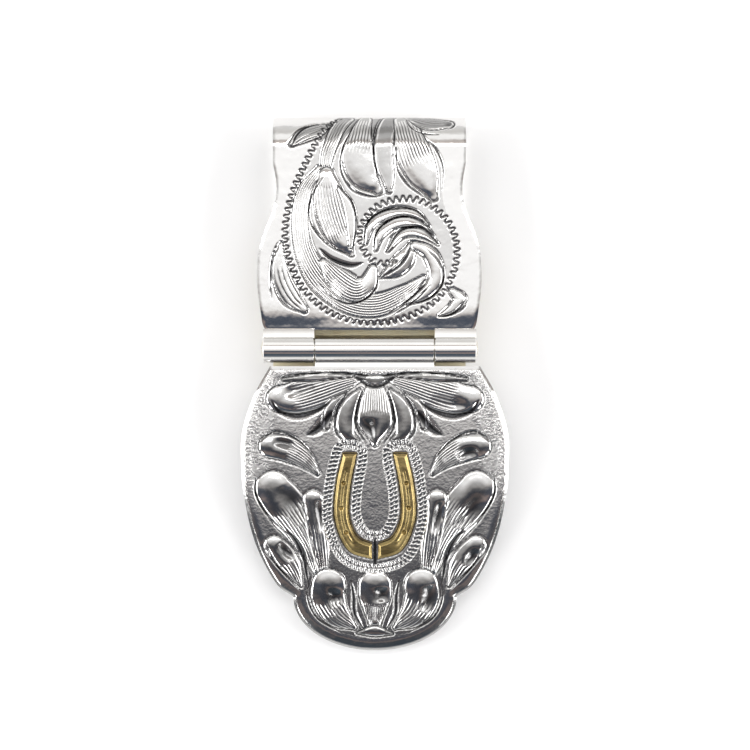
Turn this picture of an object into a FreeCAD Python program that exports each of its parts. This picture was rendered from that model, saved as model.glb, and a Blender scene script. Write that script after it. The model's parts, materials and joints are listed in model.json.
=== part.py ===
"""Hinged silver money clip with a rolled top, a barrel hinge and a snap-shut lower flap.

Units are millimetres. The clip lies on its back: +Z is up, +Y points to the rolled top and X runs
across the width. The origin is the middle of the footprint, on the surface the clip lies on.
"""

import FreeCAD, Part
import math
import os
from FreeCAD import Vector

# Overall
LENGTH = 57.8
CROWN_Y = LENGTH / 2
TIP_Y = -LENGTH / 2
UPPER_X = -0.6            # the upper panel and barrel sit a little left of the flap's middle
REACH = 40.0              # half size of cutting tools that must pass right through a part

# Silver strip: back plate, rolled top and front panel
STRIP_T = 1.0
BEND_R = 3.4              # outside radius of the rolled top
BEND_Y = CROWN_Y - BEND_R
PANEL_TOP_Z = 2 * BEND_R
PANEL_UNDER_Z = PANEL_TOP_Z - STRIP_T
ROLL_HALF_WIDTH = 10.4
PANEL_BEVEL = 0.25

# Barrel hinge
HINGE_Y = 3.8
HINGE_Z = 5.9
BARREL_R = 1.5
BARREL_LEFT = -12.05
BARREL_RIGHT = 10.9
SPLIT_LEFT = -6.5         # joints between the knuckles
SPLIT_RIGHT = 6.4
KNUCKLE_GAP = 0.08
PIN_R = 0.7
PIN_RUNNING_CLEARANCE = 0.05
PEEN_R = 1.0
PEEN_HEIGHT = 0.22
CAM_FLAT = 1.36           # distance from the hinge axis to each flat
FLAP_OPEN_DEG = 110.0
PANEL_EDGE = 2.05         # panel edge to hinge axis, over the middle knuckle
FLAP_EDGE = 1.85          # hinge axis to flap edge, beside the outer knuckles

# Flap
FLAP_T = 1.3
FLAP_TOP_Z = 6.5          # top face at the flap's hinge edge
FLAP_SLOPE_DEG = 2.5      # downward slope at the hinge edge
FLAP_BOW_R = 220.0
TONGUE_HALF_WIDTH = 8.85

# Back plate's free end
BACK_HALF_WIDTH = 8.2     # where the tapering plate meets its rounded end
BACK_END_Y = TIP_Y + 0.7
BACK_END_LENGTH = 7.5     # length of the half ellipse that rounds the end
BACK_LIFT_Y = -16.0       # the end curves upward from here to meet the flap
BACK_LIFT_R = 106.0

# Leaf spring under the front panel, and the studs that hold it
LEAF_T = 0.3
LEAF_HALF_WIDTH = 10.4
LEAF_CLEARANCE = 0.02
LEAF_PAD_START = 14.0
LEAF_PAD_END = 9.6
LEAF_FOOT_START = 6.4
LEAF_FOOT_END = HINGE_Y - 2.6
STUD_Y = 11.8
STUD_SPACING = 10.0
STUD_R = 0.7
STUD_HOLE_R = 0.75
STUD_HEAD_R = 1.2
STUD_HEAD_HEIGHT = 0.3

# Brass horseshoe on the flap, in two halves
SHOE_Y = HINGE_Y - 17.0
SHOE_HEIGHT = 0.45
SHOE_SLOT = 0.35          # half of the slot between the halves at the toe
SHOE_OUTER = [(SHOE_SLOT, -5.7), (2.9, -4.7), (4.3, -1.4), (4.15, 2.3), (3.4, 5.7)]
SHOE_INNER = [(2.0, 5.7), (2.7, 2.1), (2.85, -1.1), (1.95, -3.3), (SHOE_SLOT, -4.1)]

# Half outlines, as (distance from the middle, distance above the hinge axis)
PANEL_SIDE = [(ROLL_HALF_WIDTH, 20.1), (10.0, 17.4), (10.4, 14.9), (11.4, 12.4), (12.0, 10.0),
              (12.05, 6.6), (11.65, 3.6), (11.5, 0.9)]
FLAP_SIDE = [(11.3, -FLAP_EDGE), (12.95, -4.8), (14.25, -8.7), (14.45, -12.0), (14.1, -16.2),
             (12.9, -21.1), (10.75, -25.3), (TONGUE_HALF_WIDTH, -26.8)]


def spline(points):
    """Smooth curve through plan points."""
    curve = Part.BSplineCurve()
    curve.interpolate([Vector(x, y, 0) for x, y in points])
    return curve.toShape()


def prism(edges):
    """Upright column through a closed plan outline, tall enough to pass through every part."""
    wire = Part.Wire(Part.__sortEdges__(edges))
    face = Part.Face(wire)
    face.translate(Vector(0, 0, -REACH))
    return face.extrude(Vector(0, 0, 2 * REACH))


def across(points_and_arcs):
    """Sheet of metal: a closed side profile in the YZ plane, extruded across the width."""
    wire = Part.Wire(Part.__sortEdges__(points_and_arcs))
    face = Part.Face(wire)
    face.translate(Vector(-REACH, 0, 0))
    return face.extrude(Vector(2 * REACH, 0, 0))


def line(start, end):
    """Straight edge in the YZ plane."""
    return Part.LineSegment(Vector(0, *start), Vector(0, *end)).toShape()


def arc(centre, radius, start_deg, end_deg):
    """Arc in the YZ plane, with angles measured from +Y towards +Z, and its two end points."""
    angles = [math.radians(a) for a in (start_deg, (start_deg + end_deg) / 2, end_deg)]
    points = [(centre[0] + radius * math.cos(a), centre[1] + radius * math.sin(a)) for a in angles]
    edge = Part.Arc(*[Vector(0, y, z) for y, z in points]).toShape()
    return edge, points[0], points[2]


def rod(radius, x_start, x_end, y=HINGE_Y, z=HINGE_Z):
    """Cylinder along X."""
    return Part.makeCylinder(radius, x_end - x_start, Vector(x_start, y, z), Vector(1, 0, 0))


def slab(x_start, x_end, y_start, y_end, z_start, z_end):
    """Box between two corners."""
    size = (x_end - x_start, y_end - y_start, z_end - z_start)
    return Part.makeBox(*size, Vector(x_start, y_start, z_start))


def both_sides(points, middle_x, base_y):
    """Right and left copies of a half outline, placed in plan."""
    right = [(middle_x + x, base_y + y) for x, y in points]
    left = [(middle_x - x, base_y + y) for x, y in points]
    return right, left


def plan_line(start, end):
    """Straight edge in plan."""
    return Part.LineSegment(Vector(*start, 0), Vector(*end, 0)).toShape()


def half_ellipse(middle_x, base_y, half_width, length):
    """Half ellipse that bulges towards -Y from the line y = base_y."""
    ellipse = Part.Ellipse(Vector(middle_x, base_y, 0), half_width, length)
    return Part.ArcOfEllipse(ellipse, math.pi, 2 * math.pi).toShape()


def flap_bow_centre():
    """Centre of the flap's bowed top face, in the YZ plane."""
    slope = math.radians(FLAP_SLOPE_DEG)
    edge_y = HINGE_Y - FLAP_EDGE
    return edge_y + FLAP_BOW_R * math.sin(slope), FLAP_TOP_Z - FLAP_BOW_R * math.cos(slope)


def bowed_layer(bottom, top):
    """Layer that follows the flap's bow, between two heights above its top face."""
    y, z = flap_bow_centre()
    outer = rod(FLAP_BOW_R + top, -REACH, REACH, y, z)
    return outer.cut(rod(FLAP_BOW_R + bottom, -REACH, REACH, y, z))


def upper_half():
    """Space above the surface the clip lies on."""
    return slab(-REACH, REACH, -REACH, REACH, 0, REACH)


def back_plate():
    """Flat back, its lifted rounded end, and the rear half of the rolled top."""
    bend = (BEND_Y, BEND_R)
    outer_bend, bend_bottom, crown_out = arc(bend, BEND_R, -90, 0)
    inner_bend, bend_top, crown_in = arc(bend, BEND_R - STRIP_T, -90, 0)
    lift_deg = math.degrees(math.asin((BACK_LIFT_Y - TIP_Y) / BACK_LIFT_R))
    lift = (BACK_LIFT_Y, BACK_LIFT_R)
    lower_lift, lower_start, lower_end = arc(lift, BACK_LIFT_R, -90, -90 - lift_deg)
    upper_lift, upper_start, upper_end = arc(lift, BACK_LIFT_R - STRIP_T, -90, -90 - lift_deg)
    sheet = across([outer_bend, line(crown_out, crown_in), inner_bend, line(bend_top, upper_start),
                    upper_lift, line(upper_end, lower_end), lower_lift, line(lower_start, bend_bottom)])
    end_y = BACK_END_Y + BACK_END_LENGTH
    side = [(ROLL_HALF_WIDTH, CROWN_Y + 1), (ROLL_HALF_WIDTH, BEND_Y), (BACK_HALF_WIDTH, end_y)]
    right, left = both_sides(side, UPPER_X, 0)
    straight = [plan_line(a, b) for half in (right, left) for a, b in zip(half, half[1:])]
    rounded = half_ellipse(UPPER_X, end_y, BACK_HALF_WIDTH, BACK_END_LENGTH)
    return sheet.common(prism(straight + [plan_line(left[0], right[0]), rounded]))


def front_panel():
    """Front half of the rolled top and the shaped panel, coped to meet the outer knuckles."""
    bend = (BEND_Y, BEND_R)
    outer_bend, crown_out, bend_top = arc(bend, BEND_R, 0, 90)
    inner_bend, crown_in, bend_under = arc(bend, BEND_R - STRIP_T, 0, 90)
    edge_y = HINGE_Y + 0.9
    edge_top = (edge_y, PANEL_TOP_Z)
    edge_under = (edge_y, PANEL_UNDER_Z)
    sheet = across([line(crown_in, crown_out), outer_bend, line(bend_top, edge_top),
                    line(edge_top, edge_under), line(edge_under, bend_under), inner_bend])
    right, left = both_sides(PANEL_SIDE, UPPER_X, HINGE_Y)
    top_right = (UPPER_X + ROLL_HALF_WIDTH, CROWN_Y + 1)
    top_left = (UPPER_X - ROLL_HALF_WIDTH, CROWN_Y + 1)
    plan = prism([plan_line(top_left, top_right), plan_line(top_right, right[0]), spline(right),
                  plan_line(right[-1], left[-1]), spline(left), plan_line(left[0], top_left)])
    panel = sheet.common(plan)
    notch = slab(SPLIT_LEFT - KNUCKLE_GAP, SPLIT_RIGHT + KNUCKLE_GAP, HINGE_Y, HINGE_Y + PANEL_EDGE, 0, REACH)
    panel = panel.cut(notch).cut(rod(BARREL_R, -REACH, REACH))

    def on_upper_side(edge):
        box = edge.BoundBox
        on_top = box.ZMin > PANEL_TOP_Z - 0.01
        return on_top and box.YLength > 10.0

    return panel.makeChamfer(PANEL_BEVEL, [edge for edge in panel.Edges if on_upper_side(edge)])


def filed_flat(barrel, angle_deg):
    """File a flat on a barrel, facing angle_deg from +Y towards +Z."""
    file = slab(-REACH, REACH, CAM_FLAT, 2 * BARREL_R, -2 * BARREL_R, 2 * BARREL_R)
    file.rotate(Vector(0, 0, 0), Vector(1, 0, 0), angle_deg)
    file.translate(Vector(0, HINGE_Y, HINGE_Z))
    return barrel.cut(file)


def outer_knuckle(x_start, x_end):
    """Tube length soldered to the panel, gripping the pin, with its underside filed flat."""
    tube = rod(BARREL_R, x_start, x_end).cut(rod(PIN_R, x_start, x_end))
    return filed_flat(tube, -90)


def middle_knuckle():
    """Tube length soldered to the flap, with a cam flat for closed and one for open."""
    x_start = SPLIT_LEFT + KNUCKLE_GAP / 2
    x_end = SPLIT_RIGHT - KNUCKLE_GAP / 2
    tube = rod(BARREL_R, x_start, x_end).cut(rod(PIN_R + PIN_RUNNING_CLEARANCE, x_start, x_end))
    return filed_flat(filed_flat(tube, -90), FLAP_OPEN_DEG - 90)


def hinge_pin():
    """Straight pin with a peened dome at each end."""
    pin = rod(PIN_R, BARREL_LEFT, BARREL_RIGHT)
    for x, direction in ((BARREL_LEFT, -1), (BARREL_RIGHT, 1)):
        base = Vector(x, HINGE_Y, HINGE_Z)
        pin = pin.fuse(Part.makeCone(PEEN_R, PIN_R / 2, PEEN_HEIGHT, base, Vector(direction, 0, 0)))
    return pin.removeSplitter()


def stud_positions():
    """X of the two studs."""
    return [UPPER_X - STUD_SPACING / 2, UPPER_X + STUD_SPACING / 2]


def leaf_spring():
    """Thin bronze leaf: flat pad under the panel, a step down, and a foot under the barrel."""
    foot_top = HINGE_Z - CAM_FLAT - LEAF_CLEARANCE
    upper = [(LEAF_PAD_START, PANEL_UNDER_Z), (LEAF_PAD_END, PANEL_UNDER_Z),
             (LEAF_FOOT_START, foot_top), (LEAF_FOOT_END, foot_top)]
    lower = [(y, z - LEAF_T) for y, z in reversed(upper)]
    corners = upper + lower
    sides = [line(a, b) for a, b in zip(corners, corners[1:] + corners[:1])]
    width = slab(UPPER_X - LEAF_HALF_WIDTH, UPPER_X + LEAF_HALF_WIDTH, -REACH, REACH, 0, REACH)
    leaf = across(sides).common(width)
    for x in stud_positions():
        leaf = leaf.cut(Part.makeCylinder(STUD_HOLE_R, REACH, Vector(x, STUD_Y, 0)))
    return leaf


def spring_studs():
    """Two studs soldered under the panel, each peened over the leaf."""
    studs = []
    leaf_under_z = PANEL_UNDER_Z - LEAF_T
    for x in stud_positions():
        shank = Part.makeCylinder(STUD_R, LEAF_T, Vector(x, STUD_Y, leaf_under_z))
        head_base = Vector(x, STUD_Y, leaf_under_z)
        head = Part.makeCone(STUD_HEAD_R, STUD_R, STUD_HEAD_HEIGHT, head_base, Vector(0, 0, -1))
        studs.append(shank.fuse(head))
    return Part.makeCompound(studs)


def flap_plate():
    """Bowed flap with a tongue at its tip and a web that meets its knuckle."""
    right, left = both_sides(FLAP_SIDE, 0, HINGE_Y)
    tongue_y = right[-1][1]
    tongue = half_ellipse(0, tongue_y, TONGUE_HALF_WIDTH, tongue_y - TIP_Y)
    plate = bowed_layer(-FLAP_T, 0).common(upper_half())
    plate = plate.common(prism([plan_line(left[0], right[0]), spline(right), tongue, spline(left)]))
    web_left = SPLIT_LEFT + KNUCKLE_GAP / 2
    web_right = SPLIT_RIGHT - KNUCKLE_GAP / 2
    web = bowed_layer(-FLAP_T, 0).common(
        slab(web_left, web_right, HINGE_Y - FLAP_EDGE, HINGE_Y - BARREL_R / 2, 0, REACH))
    return plate.fuse(web.cut(rod(BARREL_R, -REACH, REACH))).removeSplitter()


def horseshoe_half(side):
    """One half of the horseshoe: side is -1 for the left and 1 for the right."""
    outer = [(side * x, SHOE_Y + y) for x, y in SHOE_OUTER]
    inner = [(side * x, SHOE_Y + y) for x, y in SHOE_INNER]
    plan = prism([spline(outer), plan_line(outer[-1], inner[0]), spline(inner), plan_line(inner[-1], outer[0])])
    return bowed_layer(0, SHOE_HEIGHT).common(plan).common(upper_half())


PARTS = {
    "back_plate": back_plate(),
    "front_panel": front_panel(),
    "left_knuckle": outer_knuckle(BARREL_LEFT, SPLIT_LEFT - KNUCKLE_GAP / 2),
    "right_knuckle": outer_knuckle(SPLIT_RIGHT + KNUCKLE_GAP / 2, BARREL_RIGHT),
    "middle_knuckle": middle_knuckle(),
    "hinge_pin": hinge_pin(),
    "leaf_spring": leaf_spring(),
    "spring_studs": spring_studs(),
    "flap_plate": flap_plate(),
    "horseshoe_left": horseshoe_half(-1),
    "horseshoe_right": horseshoe_half(1),
}

os.makedirs("parts", exist_ok=True)
for name, shape in PARTS.items():
    shape.exportStep(f"parts/{name}.step")
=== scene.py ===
import json
import math

import bmesh
import bpy
import numpy as np
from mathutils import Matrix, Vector


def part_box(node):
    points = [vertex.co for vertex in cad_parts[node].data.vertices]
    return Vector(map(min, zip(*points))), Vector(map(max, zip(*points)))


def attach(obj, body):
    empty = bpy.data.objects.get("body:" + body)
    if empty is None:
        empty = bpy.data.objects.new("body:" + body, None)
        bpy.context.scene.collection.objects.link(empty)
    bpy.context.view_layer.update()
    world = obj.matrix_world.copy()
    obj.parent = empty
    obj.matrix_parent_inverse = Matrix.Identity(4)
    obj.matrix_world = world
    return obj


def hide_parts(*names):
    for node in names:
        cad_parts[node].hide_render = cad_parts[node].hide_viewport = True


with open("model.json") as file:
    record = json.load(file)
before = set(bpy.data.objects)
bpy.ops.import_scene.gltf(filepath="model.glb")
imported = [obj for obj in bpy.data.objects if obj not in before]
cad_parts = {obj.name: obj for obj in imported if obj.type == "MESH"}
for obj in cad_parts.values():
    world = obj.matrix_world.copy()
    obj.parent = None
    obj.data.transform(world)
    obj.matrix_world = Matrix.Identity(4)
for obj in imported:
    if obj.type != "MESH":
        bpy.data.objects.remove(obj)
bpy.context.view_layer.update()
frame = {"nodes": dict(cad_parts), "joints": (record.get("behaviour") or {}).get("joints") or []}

# ---------------------------------------------------------------------------------------------
# Front panel. The upper half of a sterling strip: it comes over the rolled top, narrows to a
# waist and widens to the hinge. The scroll is cut by hand into its face, over the roll as well,
# and the fine lines are left a little dark. All sizes are in millimetres until the mesh is made.

MM = 0.001
joints = {joint["name"]: joint for joint in frame["joints"]}
HINGE_Y, HINGE_Z = (value / MM for value in joints["flap_hinge"]["pos_m"][1:])
CROWN_Y, BEND_R = (value / MM for value in joints["jaw_flex"]["pos_m"][1:])
panel_low, panel_high = (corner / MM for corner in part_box("front_panel"))
UPPER_X = (panel_low.x + panel_high.x) / 2
STRIP_T = 1.0
PANEL_EDGE = 2.05          # panel edge to hinge axis
ROLL_START = CROWN_Y - BEND_R - HINGE_Y
ROLL_HALF_WIDTH = 10.4
PANEL_SIDE = [(11.2, 2.0), (11.5, 2.7), (11.65, 3.6), (12.05, 6.6), (12.0, 10.0), (11.4, 12.4),
              (10.4, 14.9), (10.0, 17.4), (ROLL_HALF_WIDTH, 20.1)]
PANEL_COLUMNS = 250
PANEL_ROWS = 270


def smooth_path(points, steps=12):
    """Smooth curve through given points as short chords, and the distance along at each."""
    given = np.array(points, float)
    ends = np.vstack([2 * given[0] - given[1], given, 2 * given[-1] - given[-2]])
    t = np.linspace(0, 1, steps, endpoint=False)[:, None]
    spans = []
    for a, b, c, d in zip(ends, ends[1:], ends[2:], ends[3:]):
        square = a - 2.5 * b + 2 * c - 0.5 * d
        cube = 1.5 * (b - c) + 0.5 * (d - a)
        spans.append(b + 0.5 * (c - a) * t + square * t ** 2 + cube * t ** 3)
    path = np.vstack(spans + [given[-1:]])
    steps_along = np.linalg.norm(np.diff(path, axis=0), axis=1)
    return path, np.concatenate([[0], np.cumsum(steps_along)])


def width_at(side, along):
    """Half width of a shaped plate, read off its side outline."""
    path, _ = smooth_path(side)
    order = np.argsort(path[:, 1])
    return np.interp(along, path[order, 1], path[order, 0])


def sheet_grid(columns, rows):
    """Fine square mesh, with its points' places across (-1 to 1) and along (0 to 1)."""
    bm = bmesh.new()
    bmesh.ops.create_grid(bm, x_segments=columns, y_segments=rows, size=1)
    places = np.array([vert.co[:2] for vert in bm.verts])
    return bm, places[:, 0], (places[:, 1] + 1) / 2


def rising(value, start, over):
    """0 up to start, 1 once past it by the distance over, and even in between."""
    return np.clip((value - start) / over, 0, 1)


def blank_plate(x, y):
    """A plate that hasn't been engraved: its points, and what the graver does to them."""
    names = ("height", "incised", "tone", "pebble", "phase", "line")
    return {"x": x, "y": y, **{name: np.zeros(len(x)) for name in names}}


def beside(plate, points, reach):
    """Points within reach of a curve: which, how far along, how far to its side, its length."""
    path, along = smooth_path(points)
    low, high = path.min(0) - reach, path.max(0) + reach
    x, y = plate["x"], plate["y"]
    index = np.flatnonzero((x > low[0]) & (x < high[0]) & (y > low[1]) & (y < high[1]))
    x, y = x[index], y[index]
    nearest = np.full(len(index), np.inf)
    distance_along = np.zeros(len(index))
    side = np.zeros(len(index))
    for start, end, begin, finish in zip(path, path[1:], along, along[1:]):
        step = end - start
        part = np.clip(((x - start[0]) * step[0] + (y - start[1]) * step[1]) / (step @ step), 0, 1)
        away_x = x - start[0] - part * step[0]
        away_y = y - start[1] - part * step[1]
        distance = np.hypot(away_x, away_y)
        closer = distance < nearest
        nearest[closer] = distance[closer]
        distance_along[closer] = (begin + part * (finish - begin))[closer]
        turn = np.where(step[0] * away_y < step[1] * away_x, -1, 1)
        side[closer] = (turn * distance)[closer]
    near = nearest < reach
    return index[near], distance_along[near], side[near], along[-1]


LIP_INSET = 0.2            # the burnished lip runs this far inside a leaf's dark outline
LIP_HALF_WIDTH = 0.1
LIP_HEIGHT = 0.03
OUTLINE_HALF_WIDTH = 0.14
OUTLINE_DEPTH = 0.11
FULL_HALF_WIDTH = 0.9      # a leaf narrower than this stands lower too
HOLLOW_PLACE = 0.76        # middle and half length of the hollow, as shares of the leaf's length
HOLLOW_REACH = 0.22
HOLLOW_SIDE = -0.4         # and its place and spread across, as shares of the half width
HOLLOW_SPREAD = 0.42
TIP_START = 0.6            # where a leaf's tip begins to bend down, along its length
TIP_HIGHLIGHT_START = 0.85          # where the painted highlight round its end begins
FADE_IN = 0.08             # lengths over which the shading lines come in and run out
FADE_OUT = 0.12


def leaf(plate, points, half_widths, dome=0.16, tilt=0.0, level=-0.1, lines=0, lined=(0, 1),
         tone=0.12, tip=0.0, scoop=0.0):
    """Carve one leaf: a dome along a spine, hollowed by its tip, outlined, with shading lines; its hollow
    carries painted shade and its tip a painted highlight.
    """
    index, along, side, length = beside(plate, points, max(half_widths) + OUTLINE_HALF_WIDTH)
    progress = along / length
    widths, _ = smooth_path([(place, half) for place, half in enumerate(half_widths)])
    half = np.interp(progress * (len(half_widths) - 1), widths[:, 0], widths[:, 1])
    across = np.clip(side / half, -1, 1)
    from_spine = np.abs(across)
    inside = np.abs(side) < half

    shape = level + dome * (1 - across ** 2) * np.minimum(1, half / FULL_HALF_WIDTH) + tilt * across
    shape -= tip * rising(progress, TIP_START, 1 - TIP_START) ** 2
    lopsided = np.exp(-((across - HOLLOW_SIDE) / HOLLOW_SPREAD) ** 2) * (1 - across ** 4)
    hollow = scoop * np.clip(1 - ((progress - HOLLOW_PLACE) / HOLLOW_REACH) ** 2, 0, 1) * lopsided
    lip = np.clip(1.6 - np.abs(half - LIP_INSET - np.abs(side)) / LIP_HALF_WIDTH, 0, 1)
    lip *= half > 2 * LIP_INSET
    plate["height"][index[inside]] = (shape - hollow + LIP_HEIGHT * lip)[inside]
    plate["incised"][index[inside]] = 0

    fade = rising(progress, lined[0], FADE_IN) * np.clip((lined[1] - progress) / FADE_OUT, 0, 1)
    lined_part = fade * (from_spine < 0.9) * (lines > 0)
    # Painted highlight: a ring round the end of a hollowed leaf is left nearly untoned, so it reads
    # bright
    tip_highlight = rising(from_spine, 0.35, 0.3) * rising(progress, TIP_HIGHLIGHT_START, 0.12) * (scoop > 0)
    bright = np.maximum(lip, 0.85 * tip_highlight)
    # Painted shade: the hollow near each leaf's tip is painted darker as well as carved
    toned = tone * (1 - 0.5 * lined_part) + 0.9 * hollow
    plate["tone"][index[inside]] = (toned * (1 - 0.9 * bright))[inside]
    plate["pebble"][index[inside]] = 0
    plate["phase"][index[inside]] = (across * lines / 2 * (half / max(half_widths)) ** 0.6)[inside]
    plate["line"][index[inside]] = lined_part[inside]

    outline = np.clip(1 - np.abs(np.abs(side) - half) / OUTLINE_HALF_WIDTH, 0, 1)
    plate["incised"][index] = np.maximum(plate["incised"][index], OUTLINE_DEPTH * outline)
    plate["tone"][index] = np.maximum(plate["tone"][index], np.clip(2.2 * outline - 0.7, 0, 1))
    plate["line"][index] *= 1 - outline


def cut(plate, points, half_width, depth=0.16, fullness=0.6):
    """One flared stroke of the graver, widest in the middle and running out at both ends."""
    index, along, side, length = beside(plate, points, half_width)
    swell = np.sin(math.pi * np.clip(along / length, 0.01, 0.99)) ** fullness
    vee = np.clip(1 - np.abs(side) / (half_width * swell), 0, 1)
    plate["incised"][index] += depth * swell * vee
    plate["tone"][index] = np.maximum(plate["tone"][index], np.clip(2.2 * vee - 0.4, 0, 1))
    plate["line"][index] *= vee == 0


def wriggle(plate, points, pitch, swing, half_width, depth):
    """A wriggled line: the flat graver is rocked from side to side as it is pushed along."""
    index, along, side, _ = beside(plate, points, swing + 2 * half_width)
    angle = 2 * math.pi * along / pitch
    slope = swing * 2 * math.pi / pitch * np.cos(angle)
    distance = np.abs(side - swing * np.sin(angle)) / np.hypot(1, slope)
    vee = np.clip(1 - distance / half_width, 0, 1)
    plate["incised"][index] += depth * vee
    plate["tone"][index] = np.maximum(plate["tone"][index], np.clip(1.7 * vee - 0.2, 0, 1))
    plate["line"][index] *= vee == 0


SHORTEST = 1e-9            # keeps a chord between two points in one place from dividing by zero


def soften_rim(plate, outline, width, drop):
    """Round a plate's edge over, and give each point's distance from the outline."""
    distance = np.full(len(plate["x"]), np.inf)
    for start, end in zip(outline, outline[1:]):
        step = end - start
        away_x = plate["x"] - start[0]
        away_y = plate["y"] - start[1]
        part = (away_x * step[0] + away_y * step[1]) / max(step @ step, SHORTEST)
        part = np.clip(part, 0, 1)
        distance = np.minimum(distance, np.hypot(away_x - part * step[0], away_y - part * step[1]))
    turned = np.clip(1 - distance / width, 0, 1)
    plate["height"] -= drop * turned ** 2
    return distance


def relieve(plate, columns, passes=6):
    """Blend the leaves' forms into each other, then sink the cuts into them."""
    form = plate["height"].reshape(-1, columns + 1)
    for _ in range(passes):
        padded = np.pad(form, 1, mode="edge")
        beside_it = padded[:-2, 1:-1] + padded[2:, 1:-1] + padded[1:-1, :-2] + padded[1:-1, 2:]
        form = (beside_it + 4 * form) / 8
    plate["height"] = form.ravel() - plate["incised"]


def within(plate, outline):
    """Which points of a plate lie inside a closed outline."""
    inside = np.zeros(len(plate["x"]), bool)
    for start, end in zip(outline, np.roll(outline, -1, axis=0)):
        spans = (start[1] > plate["y"]) != (end[1] > plate["y"])
        rise = end[1] - start[1] or 1.0
        crossing = start[0] + (plate["y"] - start[1]) * (end[0] - start[0]) / rise
        inside ^= spans & (plate["x"] < crossing)
    return inside


BOTH_ON_SIDE = 1.9999      # both ends of a side edge lie at -1 or at 1 across


def close_sheet(bm, across, underside):
    """Give a shaped grid its side walls and its underside, and close both ends."""
    source = bm.verts.layers.int.new("source")
    for number, vert in enumerate(bm.verts):
        vert[source] = number
    sides = []
    for edge in bm.edges:
        ends = [across[vert[source]] for vert in edge.verts]
        if abs(ends[0] + ends[1]) > BOTH_ON_SIDE:
            sides.append(edge)
    walls = bmesh.ops.extrude_edge_only(bm, edges=sides)["geom"]
    for item in walls:
        if isinstance(item, bmesh.types.BMVert):
            item.co = underside[item[source]]
    bottom = [item for item in walls if isinstance(item, bmesh.types.BMEdge)]
    bmesh.ops.bridge_loops(bm, edges=bottom)
    bmesh.ops.holes_fill(bm, edges=[edge for edge in bm.edges if edge.is_boundary], sides=0)
    bmesh.ops.recalc_face_normals(bm, faces=bm.faces)


def make_piece(name, bm, body, material, replaced=(), crease_deg=50):
    """Turn a finished bmesh in metres into a smooth shaded piece that rides on its body."""
    mesh = bpy.data.meshes.new(name)
    bm.to_mesh(mesh)
    bm.free()
    mesh.materials.append(material)
    mesh.shade_smooth()
    mesh.set_sharp_from_angle(angle=math.radians(crease_deg))
    piece = bpy.data.objects.new(name, mesh)
    bpy.context.scene.collection.objects.link(piece)
    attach(piece, body)
    if replaced:
        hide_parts(*replaced)
    return piece


def place_points(bm, points):
    """Move every point of a bmesh."""
    for vert, point in zip(bm.verts, points):
        vert.co = point


UNDERSIDE_TONE = 0.14      # the walls and underside are a little dull, and have no engraving


def keep_engraving(piece, plate):
    """Store what the graver did, with the painted shade and highlights, as attributes, for the material
    to read.
    """
    points = len(piece.data.vertices)
    for name in ("tone", "pebble", "phase", "line"):
        values = np.full(points, UNDERSIDE_TONE if name == "tone" else 0, np.float32)
        values[:len(plate[name])] = plate[name]
        piece.data.attributes.new(name, "FLOAT", "POINT").data.foreach_set("value", values)


def feed(owner, node, inputs):
    """Give a node's inputs their values, or the outputs of earlier nodes."""
    for name, value in inputs.items():
        if isinstance(value, bpy.types.NodeSocket):
            owner.node_tree.links.new(value, node.inputs[name])
        else:
            node.inputs[name].default_value = value


def surface_node(owner, kind, inputs, output, **settings):
    """Add one step of a finish and give its output."""
    node = owner.node_tree.nodes.new(kind)
    for name, value in settings.items():
        setattr(node, name, value)
    feed(owner, node, inputs)
    return node.outputs[output]


def mottle(metal, scale, detail, stretch=None):
    """Uneven light and dark, fixed to the metal; stretch scales it along each axis."""
    place = surface_node(metal, "ShaderNodeTexCoord", {}, "Object")
    if stretch:
        place = surface_node(metal, "ShaderNodeMapping", {"Vector": place, "Scale": stretch}, "Vector")
    inputs = {"Vector": place, "Scale": scale, "Detail": detail}
    return surface_node(metal, "ShaderNodeTexNoise", inputs, "Fac")


def relief(metal, height, depth, over=None):
    """Fine relief that only the light shows, by itself or over an earlier one."""
    inputs = {"Height": height, "Distance": depth}
    if over is not None:
        inputs["Normal"] = over
    return surface_node(metal, "ShaderNodeBump", inputs, "Normal")


def colour_between(metal, share, first, second):
    """A colour that goes from the first to the second as the share rises."""
    inputs = {"Factor": share, "A": first, "B": second}
    return surface_node(metal, "ShaderNodeMix", inputs, "Result", data_type="RGBA")


def graded(owner, value, low, high, start=0.0, end=1.0, **settings):
    """Low up to the start, high past the end, and changing evenly in between."""
    inputs = {"Value": value, "From Min": start, "From Max": end, "To Min": low, "To Max": high}
    return surface_node(owner, "ShaderNodeMapRange", inputs, "Result", **settings)


def new_metal(name):
    """A bare metal, for a finish to be worked up on."""
    metal = bpy.data.materials.new(name)
    metal.use_nodes = True
    return metal


def finished(metal, colour, roughness, normal):
    """Give a metal the colour, roughness and relief worked up for it."""
    shader = metal.node_tree.nodes["Principled BSDF"]
    feed(metal, shader, {"Metallic": 1.0, "Base Color": colour, "Roughness": roughness, "Normal": normal})
    return metal


LINE_DEPTH = 0.00004       # depths of the reliefs, in metres
PEBBLE_DEPTH = 0.0001
DENT_DEPTH = 0.00005
WEAR_DEPTH = 0.000006


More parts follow.
